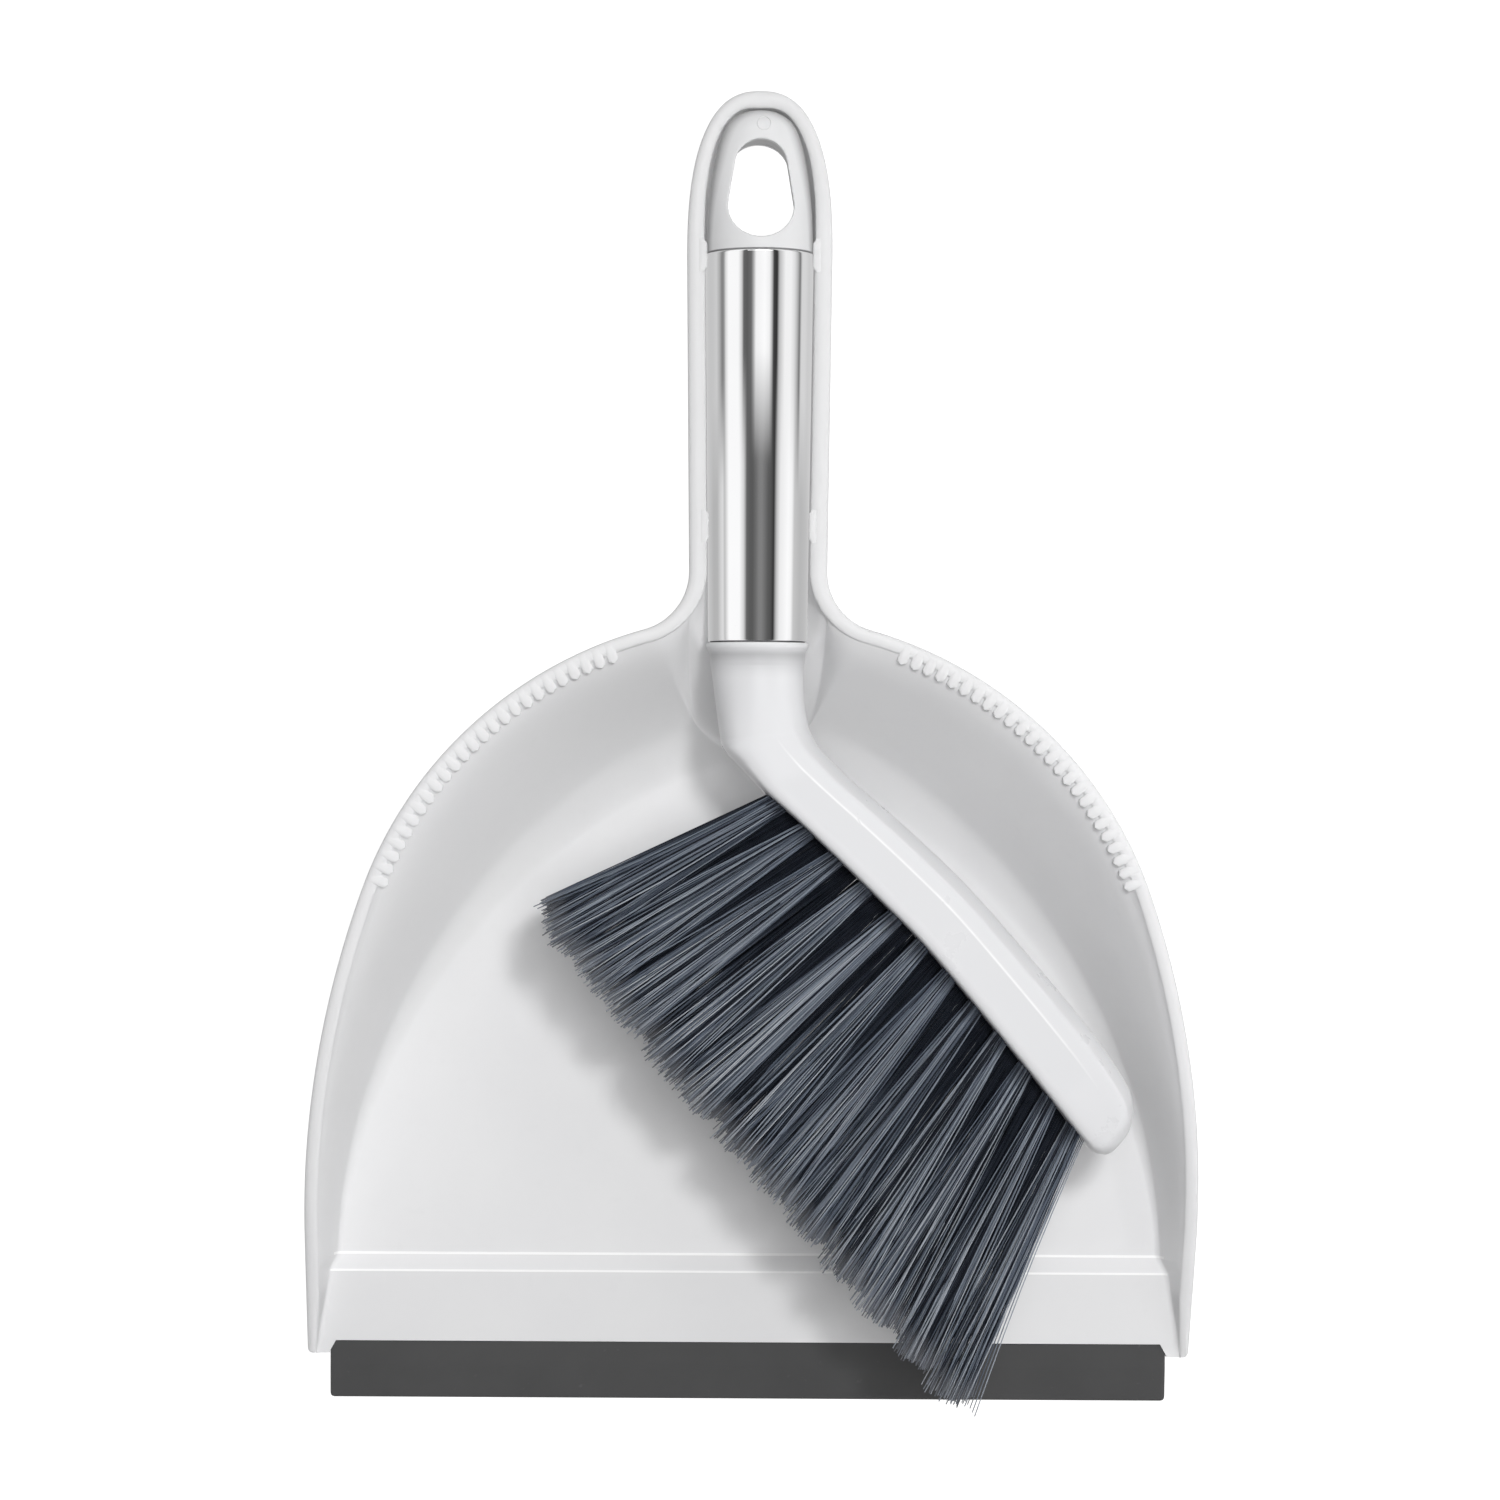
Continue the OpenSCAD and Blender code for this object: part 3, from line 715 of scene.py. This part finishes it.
def head_ring(r, n=200):
    """One section of the head at even spacing, with the ridge as a line of its own that carries a painted highlight."""
    a = np.arange(1441) * 2 * math.pi / 1440
    c, q = np.cos(a), np.sin(a)
    # the bristle side is squarer than the outer side
    e = np.where(c > 0, 2 / r[5], 2 / (r[5] + max(0.0, r[5] - 3) * 1.6))
    u = 0.5 + 0.5 * np.sign(c) * np.abs(c) ** e
    z = r[4] * np.sign(q) * np.abs(q) ** e
    wide = math.hypot(r[2] - r[0], r[3] - r[1])
    run = np.concatenate([[0.0], np.cumsum(np.hypot(np.diff(u) * wide, np.diff(z)))])
    t = (np.arange(n) + 0.5) / n * run[-1]
    u, z = np.interp(t, run, u), np.interp(t, run, z)
    painted_light = [0.0] * n
    if r[5] > 3:
        top = [k for k in range(n) if z[k] > 0.8 * r[4]]
        k = min(top, key=lambda g: abs(u[g] - RIDGE))
        step = run[-1] / n / wide
        u[k - 1], u[k], u[k + 1] = RIDGE + step, RIDGE, RIDGE - step
        # painted highlight along the ridge line
        painted_light[k] = 0.85 * clamp01((r[5] - 3.2) / 1.8) * clamp01((76 - r[0]) / 14)
    row = []
    for k in range(n):
        drop = 0.0
        for at, w, slope in ((0.62, 0.018, 0.1 / 0.25), (0.81, 0.02, 1.2 / 0.19)):
            d = u[k] - at
            drop += slope * (0.0 if d < -w else (d if d > w else (d + w) ** 2 / (4 * w)))
        row.append((lerp(r[0], r[2], u[k]), lerp(r[1], r[3], u[k]), AXIS_Z + z[k] * (1 - r[6] * drop)))
    return row, painted_light


def revolve(profile, n=128):
    """Rings about the handle axis from (y, radius) pairs."""
    return [[(r * math.cos(2 * math.pi * j / n), y, AXIS_Z + r * math.sin(2 * math.pi * j / n)) for j in range(n)]
            for y, r in profile]


def build_head():
    # tang inside the tube, bead below the tube's edge, then the block itself
    n = 200
    rings = []
    painted_light = []
    for y, r in ((46.0, 8.0), (46.0, 11.4), (45.4, 11.8), (29.3, 11.65), (28.88, 11.8), (28.86, 12.1), (28.8, 12.4),
                 (28.62, 12.62), (28.35, 12.74), (27.95, 12.77), (27.6, 12.7), (27.3, 12.52), (27.0, 12.3),
                 (26.7, 12.13), (26.3, 11.99), (25.8, 11.9), (25.2, 11.85), (24.6, 11.8), (24.0, 11.74), (23.6, 11.7)):
        rings.append([(r * math.cos(2 * math.pi * (j + 0.5) / n), y, AXIS_Z + r * math.sin(2 * math.pi * (j + 0.5) / n))
                      for j in range(n)])
        # painted highlight on the bead's top, painted shade under the bead and a painted dark shade line at the tube's
        # edge
        painted_light += [float(np.interp(y, (20.0, 21.4, 23.9, 25.2, 26.0, 26.6, 27.1, 28.3, 28.6, 28.8, 28.86),
                                  (0, -0.04, -0.18, -0.33, -0.38, -0.2, -0.02, 0.0, 0.4, 0.3, -0.92)))] * n
    for r in catmull(HEAD, 8):
        row, line = head_ring(r, n)
        # the painted shade under the bead fades out on the first rings of the block
        low = float(np.interp(r[1], (20.0, 21.4, 23.9), (0, -0.04, -0.18))) if r[1] > 18 else 0.0
        rings.append(row)
        painted_light += [p + low for p in line]
    last = np.array(rings[-1])
    mid = last.mean(0)
    out = np.array([0.62, -0.78, 0.0])
    for s, d in ((0.86, 0.5), (0.66, 0.85), (0.4, 1.05), (0.15, 1.12)):
        rings.append([tuple(mid + (p - mid) * s + out * d) for p in last])
        painted_light += [0.0] * n
    v, f = bridge(rings)
    ob = mesh_object("head_block", v, f, MAT_HEAD)
    ob.data.attributes.new("painted_light", "FLOAT", "POINT").data.foreach_set("value", np.array(painted_light, dtype=np.float32))
    fix_normals(ob)
    set_smooth(ob, 60)
    return ob


# ---------------------------------------------------------------- tube
def build_tube():
    y0, y1 = 29.12, 125.52
    r0, r1 = 12.3, 13.45
    prof = [(y0 + 0.02, r0 - 0.48), (y0, r0 - 0.3), (y0 + 0.03, r0 - 0.12), (y0 + 0.12, r0 - 0.03)]
    for i in range(60):
        t = i / 59
        prof.append((lerp(y0 + 0.28, y1 - 0.5, t), lerp(r0, r1, t)))
    prof += [(y1 - 0.25, r1 - 0.03), (y1 - 0.08, r1 - 0.12), (y1, r1 - 0.28), (y1 - 0.02, r1 - 0.48)]
    prof += [(y1 - 3, r1 - 0.52), (y0 + 3, r0 - 0.5), (y0 + 0.02, r0 - 0.48)]
    v, f = bridge(revolve(prof, 256), caps=False)
    ob = mesh_object("tube_shell", v, f, MAT_STEEL)
    weld(ob, 2e-7)
    set_smooth(ob, 40)
    return ob


# ---------------------------------------------------------------- cap
CAP = [[125.6, 13.25, 13.1, 2], [128, 13.25, 12.8, 2.05], [133, 13.1, 11.5, 2.2], [139, 12.7, 9.6, 2.4],
       [146, 11.8, 8.1, 2.55], [152, 10.6, 7.5, 2.55], [156.5, 9, 7.1, 2.5], [159, 7.1, 6.2, 2.4],
       [160.6, 4.4, 4.6, 2.3], [161.2, 2.2, 2.4, 2]]


def build_cap():
    n = 96
    rings = []
    for r in catmull(CAP, 10):
        e = 2 / r[3]
        rings.append([(r[1] * sgp(math.cos(2 * math.pi * (j + 0.5) / n), e), r[0],
                       AXIS_Z + r[2] * sgp(math.sin(2 * math.pi * (j + 0.5) / n), e)) for j in range(n)])
    v, f = bridge(rings)
    ob = mesh_object("cap_body", v, f, MAT_CAP)
    fix_normals(ob)
    cut(ob, prism("c4", pear_outline(-0.2), 32, 58, pear_outline(1.1)))
    m = ob.modifiers.new("r", "REMESH")
    m.mode = "VOXEL"
    m.voxel_size = 0.32 * MM
    m.use_smooth_shade = True
    apply_modifiers(ob)
    sm = ob.modifiers.new("s", "SMOOTH")
    sm.factor = 0.5
    sm.iterations = 6
    apply_modifiers(ob)
    if len(ob.data.materials) == 0:
        ob.data.materials.append(MAT_CAP)
    # plug inside the tube
    prof = [(114.0, 9.0), (114.0, 12.4), (114.4, 12.7), (125.9, 12.75), (126.2, 9.0)]
    v, f = bridge(revolve(prof, 96))
    plug = mesh_object("cap_plug", v, f, MAT_CAP)
    fix_normals(plug)
    set_smooth(plug, 40)
    # gate mark: a low raised ring near the tip
    rings = []
    for j in range(64):
        a = 2 * math.pi * j / 64
        row = []
        for k in range(8):
            b = 2 * math.pi * k / 8
            rr = 1.7 + 0.15 * math.cos(b)
            dy = rr * math.sin(a)
            x = 0.7 + rr * math.cos(a)
            row.append((x, 157.4 + dy, 50.88 - 0.266 * dy - 0.06 * dy * dy - 0.024 * x * x + 0.22 * math.sin(b)))
        rings.append(row)
    rings.append(rings[0])
    v, f = bridge(rings, caps=False)
    gate = mesh_object("cap_gate_mark", v, f, MAT_CAP)
    weld(gate, 2e-7)
    return ob, plug, gate


# ---------------------------------------------------------------- bristles
ROWS = [(5, -11.3), (12, -17.8), (19, -24.7), (26.2, -32.2), (33.4, -39.5), (40.2, -46.4), (47, -53.6),
        (53.6, -61.2), (59.8, -69), (66, -76.7), (72, -84.2), (78, -91.6)]


def row_angle(i):
    return math.radians(29 + 36 * (i / 11) ** 0.93)


def row_length(i):
    return 64.5 + 8 * i / 11


def strand(points, radius, sides=4, taper=0.9):
    """Vertices and faces of one thin filament along points."""
    pts = [np.array(p) for p in points]
    t = pts[-1] - pts[0]
    t /= np.linalg.norm(t)
    up = np.array([0.0, 0.0, 1.0])
    a = np.cross(t, up)
    a /= np.linalg.norm(a)
    b = np.cross(a, t)
    vs = []
    for i, p in enumerate(pts):
        r = radius * (1 if i < len(pts) - 1 else taper)
        for k in range(sides):
            w = 2 * math.pi * k / sides + 0.6
            vs.append(p + r * (math.cos(w) * a + math.sin(w) * b))
    fs = []
    for i in range(len(pts) - 1):
        for k in range(sides):
            q = i * sides + k
            q2 = i * sides + (k + 1) % sides
            fs.append((q, q2, q2 + sides, q + sides))
    fs.append(tuple(range((len(pts) - 1) * sides, len(pts) * sides)))
    return vs, fs


def build_row(i, rng):
    root = np.array([ROWS[i][0], ROWS[i][1], AXIS_Z])
    pitch = np.array([ROWS[max(1, i)][k] - ROWS[max(0, i - 1)][k] for k in (0, 1)] + [0.0])
    ang = row_angle(i)
    d = np.array([-math.cos(ang), -math.sin(ang), 0.0])
    side = np.array([d[1], -d[0], 0.0])
    up = np.array([0.0, 0.0, 1.0])
    length = row_length(i)
    verts, faces, shade, along = [], [], [], []
    steps = 7

    def add(pts, radius, tone, root_shade=1.0):
        v, f = strand(pts, radius)
        b0 = len(verts)
        verts.extend(v)
        faces.extend(tuple(b0 + q for q in g) for g in f)
        n = len(pts)
        for s in range(n):
            # the root factor is painted shade: darker towards the root
            shade.extend([tone * lerp(root_shade, 1.0, smooth(1.15 * s / (n - 1)))] * 4)
            along.extend([s / (n - 1)] * 4)

    for c in range(4):
        base = root + up * 6.2 * (c - 1.5) - pitch * (0.0 if c % 2 else (0.1 if i == 0 else 0.5))
        tilt = math.radians(1.3 * (c - 1.5))
        lean = (rng.uniform(-1.2, 1.2) if c == 3 else (-1) ** c * rng.uniform(1.6, 3.0)) * math.pi / 180
        axis = (d * math.cos(lean) + side * math.sin(lean)) * math.cos(tilt) + up * math.sin(tilt)
        lift = up * math.cos(tilt) - d * math.sin(tilt)
        count = 82 if c == 3 else 66
        fan = 7.4 if c == 3 else 7.6
        for k in range(count):
            r = math.sqrt((k + 0.5) / count)
            th = k * 2.399963 + rng.uniform(-0.3, 0.3)
            ox, oz = r * math.cos(th), r * math.sin(th)
            spread = 0.55 if (i == 0 and ox > 0) or (i == 11 and ox < 0) else 1.0
            end_x = fan * spread * ox * rng.uniform(0.72, 1.06) + rng.gauss(0, 0.8)
            end_z = 3.6 * oz + rng.gauss(0, 0.35)
            ln = length + rng.gauss(0, 0.75) - 0.4 * ox * ox - (0.0 if c == 3 else 2.2)
            bow_x, bow_z = rng.gauss(0, 0.5), rng.gauss(0, 0.25)
            pts = []
            for s in range(steps + 1):
                t = s / steps
                w = t ** 1.05
                px = lerp(2.25 * ox, end_x, w) + bow_x * math.sin(math.pi * t)
                pz = lerp(2.25 * oz, end_z, w) + bow_z * math.sin(math.pi * t)
                pts.append(base + axis * (-2.5 + (ln + 2.5) * t) + side * px + lift * pz)
            tone = 0.32 + 0.6 * rng.betavariate(1.2, 1.3)
            p = rng.random()
            if p < 0.06:
                tone = rng.uniform(0.92, 1.0)
            elif p < 0.36:
                tone = rng.uniform(0.0, 0.1)
            # the three lower columns are painted darker, as shade under the top column, and darker at their roots as
            # painted shade
            add(pts, rng.uniform(0.17, 0.205), tone * (0.55, 0.6, 0.75, 1.0)[c], (0.0, 0.05, 0.1, 0.85)[c])
    # a few long stray filaments at the two ends of the brush
    if i in (0, 11):
        for k in range(3 if i == 0 else 4):
            off = (2.2 + 0.35 * k) * (-1 if i == 0 else 1)
            end = (5.2 + 0.9 * k) * (-1 if i == 0 else 1)
            pts = []
            for s in range(steps + 1):
                t = s / steps
                pts.append(root + up * (9.3 + 1.6 * t + 0.3 * k) + d * (-2.5 + (length + 1.8 + 0.6 * k) * t)
                           - side * lerp(off, end, t) - side * (0.9 * math.sin(math.pi * t) * (1 if i == 0 else -1)))
            add(pts, 0.18, 0.25 + 0.2 * k)
    ob = mesh_object("bristle_row_%02d" % (i + 1), verts, faces, MAT_BRISTLE)
    me = ob.data
    at = me.attributes.new("shade", "FLOAT", "POINT")
    at.data.foreach_set("value", np.array(shade, np.float32))
    at = me.attributes.new("along", "FLOAT", "POINT")
    at.data.foreach_set("value", np.array(along, np.float32))
    return ob


# ---------------------------------------------------------------- build
pan = build_pan()
teeth = build_teeth()
bumps = build_bumps()
for o in (teeth, bumps):
    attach(o, "dustpan")
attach(pan, "dustpan")
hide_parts("dustpan_body")
for o in (pan, teeth, bumps):
    o.visible_glossy = False

lip = build_lip()
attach(lip, "dustpan")
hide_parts("rubber_lip")

head = build_head()
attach(head, "brush")
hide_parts("brush_head")

tube = build_tube()
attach(tube, "brush")
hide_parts("handle_tube")

cap, plug, gate = build_cap()
for o in (cap, plug, gate):
    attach(o, "brush")
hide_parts("hang_cap")

rng = random.Random(7)
for i in range(12):
    row = build_row(i, rng)
    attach(row, "brush")
    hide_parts("tuft_row_%02d" % (i + 1))


def staple_metal():
    m, nt, bsdf, out = new_material("staple_steel")
    co = nt.nodes.new("ShaderNodeTexCoord").outputs["Object"]
    n = noise(nt, co, 800.0, 3.0, 0.6)
    bsdf.inputs["Metallic"].default_value = 1.0
    nt.links.new(mix_color(nt, n.outputs["Fac"], (0.62, 0.58, 0.48), (0.5, 0.47, 0.4)), bsdf.inputs["Base Color"])
    nt.links.new(remap(nt, n.outputs["Fac"], 0.25, 0.4), bsdf.inputs["Roughness"])
    return m


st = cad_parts["anchor_staples"]
st.data.materials.clear()
st.data.materials.append(staple_metal())


# ---------------------------------------------------------------- floor, light, camera
def floor_material():
    m, nt, bsdf, out = new_material("studio_floor")
    co = nt.nodes.new("ShaderNodeTexCoord").outputs["Object"]
    n = noise(nt, co, 6.0, 3.0, 0.5)
    nt.links.new(mix_color(nt, n.outputs["Fac"], (0.26, 0.26, 0.26), (0.3, 0.3, 0.3)), bsdf.inputs["Base Color"])
    bsdf.inputs["Roughness"].default_value = 0.9
    bsdf.inputs["Specular IOR Level"].default_value = 0.0
    bsdf.inputs["Emission Color"].default_value = (1, 1, 1, 1)
    bsdf.inputs["Emission Strength"].default_value = 0.93
    return m


fl = mesh_object("studio_floor", [(-3000, -3000, -0.05), (3000, -3000, -0.05), (3000, 3000, -0.05), (-3000, 3000, -0.05)],
                 [(0, 1, 2, 3)], floor_material())
fl.visible_glossy = False
fl.visible_diffuse = False
fl.visible_shadow = False


def to_linear(v):
    v /= 255.0
    return v / 12.92 if v <= 0.04045 else ((v + 0.055) / 1.055) ** 2.4


def studio_world():
    """Soft dome for the diffuse light; tall softboxes and black flags for the reflections."""
    world = bpy.data.worlds.new("studio")
    scene.world = world
    world.use_nodes = True
    nt = world.node_tree
    nt.nodes.clear()
    out = nt.nodes.new("ShaderNodeOutputWorld")
    co = nt.nodes.new("ShaderNodeTexCoord")
    xyz = nt.nodes.new("ShaderNodeSeparateXYZ")
    nt.links.new(co.outputs["Generated"], xyz.inputs[0])
    turn = nt.nodes.new("ShaderNodeMath")
    turn.operation = "ARCTAN2"
    nt.links.new(xyz.outputs["X"], turn.inputs[0])
    nt.links.new(xyz.outputs["Z"], turn.inputs[1])
    around = remap(nt, turn.outputs[0], 0.0, 1.0, -math.pi, math.pi)

    def boxes(stops):
        ramp = nt.nodes.new("ShaderNodeValToRGB")
        nt.links.new(around, ramp.inputs["Fac"])
        el = ramp.color_ramp.elements
        first, last = stops[0], stops[-1]
        el[0].position, el[1].position = 0.0, 1.0
        for e, v in ((el[0], first[1]), (el[1], last[1])):
            c = to_linear(v) / 0.86
            e.color = (c, c, c, 1)
        for angle, v in stops[1:-1]:
            x = el.new((angle + 180) / 360)
            c = to_linear(v) / 0.86
            x.color = (c, c, c, 1)
        return ramp.outputs["Color"]

    far = boxes([(-180, 200), (-138, 196), (-123, 198), (-108, 205), (-98, 176), (-90, 128), (-84, 150), (-80, 215),
                 (-72, 251), (-48, 250), (-40, 205), (-36, 100), (-28, 92), (-19, 108), (-14, 176), (-9, 244),
                 (10, 254), (20, 242), (25, 190), (29, 66), (37, 50), (42, 189), (56, 243), (70, 243), (80, 222),
                 (88, 186), (96, 112), (103, 214), (116, 214), (130, 204), (180, 200)])
    near = boxes([(-180, 200), (-138, 190), (-123, 180), (-108, 182), (-96, 212), (-90, 221), (-84, 192), (-80, 215),
                  (-72, 253), (-45, 252), (-35, 213), (-28, 101), (-20, 90), (-14, 90), (-7, 107), (0, 127), (6, 128),
                  (13, 112), (20, 92), (27, 82), (34, 50), (41, 192), (49, 236), (70, 253), (80, 245), (88, 198),
                  (99, 190), (110, 184), (138, 190), (180, 200)])
    tall = remap(nt, xyz.outputs["Y"], 0.0, 1.0, 0.045, 0.07)
    gloss = mix_color(nt, tall, near, far)
    lift = nt.nodes.new("ShaderNodeMapRange")
    lift.inputs["From Min"].default_value = 0.0
    lift.inputs["From Max"].default_value = 0.35
    lift.inputs["To Min"].default_value = 0.85
    lift.inputs["To Max"].default_value = 0.16
    nt.links.new(xyz.outputs["Z"], lift.inputs["Value"])
    ray = nt.nodes.new("ShaderNodeLightPath")
    b_gloss = nt.nodes.new("ShaderNodeBackground")
    nt.links.new(gloss, b_gloss.inputs["Color"])
    b_dome = nt.nodes.new("ShaderNodeBackground")
    b_dome.inputs["Color"].default_value = (1.0, 1.0, 1.0, 1)
    nt.links.new(lift.outputs["Result"], b_dome.inputs["Strength"])
    b_back = nt.nodes.new("ShaderNodeBackground")
    b_back.inputs["Color"].default_value = (0.97, 0.97, 0.97, 1)
    m1 = nt.nodes.new("ShaderNodeMixShader")
    nt.links.new(ray.outputs["Is Glossy Ray"], m1.inputs["Fac"])
    nt.links.new(b_dome.outputs[0], m1.inputs[1])
    nt.links.new(b_gloss.outputs[0], m1.inputs[2])
    m2 = nt.nodes.new("ShaderNodeMixShader")
    nt.links.new(ray.outputs["Is Camera Ray"], m2.inputs["Fac"])
    nt.links.new(m1.outputs[0], m2.inputs[1])
    nt.links.new(b_back.outputs[0], m2.inputs[2])
    nt.links.new(m2.outputs[0], out.inputs[0])


studio_world()


def area(name, loc, target, size, power, size_y=None, glossy=True, diffuse=True, shadow=True):
    li = bpy.data.lights.new(name, "AREA")
    li.energy = power
    li.size = size
    li.use_shadow = shadow
    if size_y:
        li.shape = "RECTANGLE"
        li.size_y = size_y
    ob = bpy.data.objects.new(name, li)
    scene.collection.objects.link(ob)
    ob.location = loc
    ob.rotation_euler = (Vector(target) - Vector(loc)).to_track_quat("-Z", "Y").to_euler()
    ob.visible_camera = False
    ob.visible_glossy = glossy
    ob.visible_diffuse = diffuse
    return ob


area("overhead", (0.05, -0.02, 1.35), (0.0, 0.0, 0.0), 0.5, 6.2, glossy=False)
area("key", (0.15, 0.2, 1.05), (0.0, -0.03, 0.02), 0.12, 4.9, glossy=False)
area("side_fill", (1.0, 0.1, 0.85), (0.0, -0.05, 0.02), 0.9, 3.5, glossy=False, shadow=False)
area("edge_strip", (0.0, 0.66, 0.95), (0.0, -0.05, 0.0), 1.0, 1.2, size_y=0.14, diffuse=False)

cam_data = bpy.data.cameras.new("camera")
cam = bpy.data.objects.new("camera", cam_data)
scene.collection.objects.link(cam)
scene.camera = cam
cam_data.sensor_width = 36.0
cam_data.lens = 36.0 * 1.06 / 0.375
cam.location = (-0.038, 0.002, 1.1)
cam.rotation_euler = (0, 0, math.radians(0.31))
cam_data.shift_x = 0.0971
cam_data.clip_start = 0.05

scene.view_settings.view_transform = "Standard"
scene.view_settings.look = "None"

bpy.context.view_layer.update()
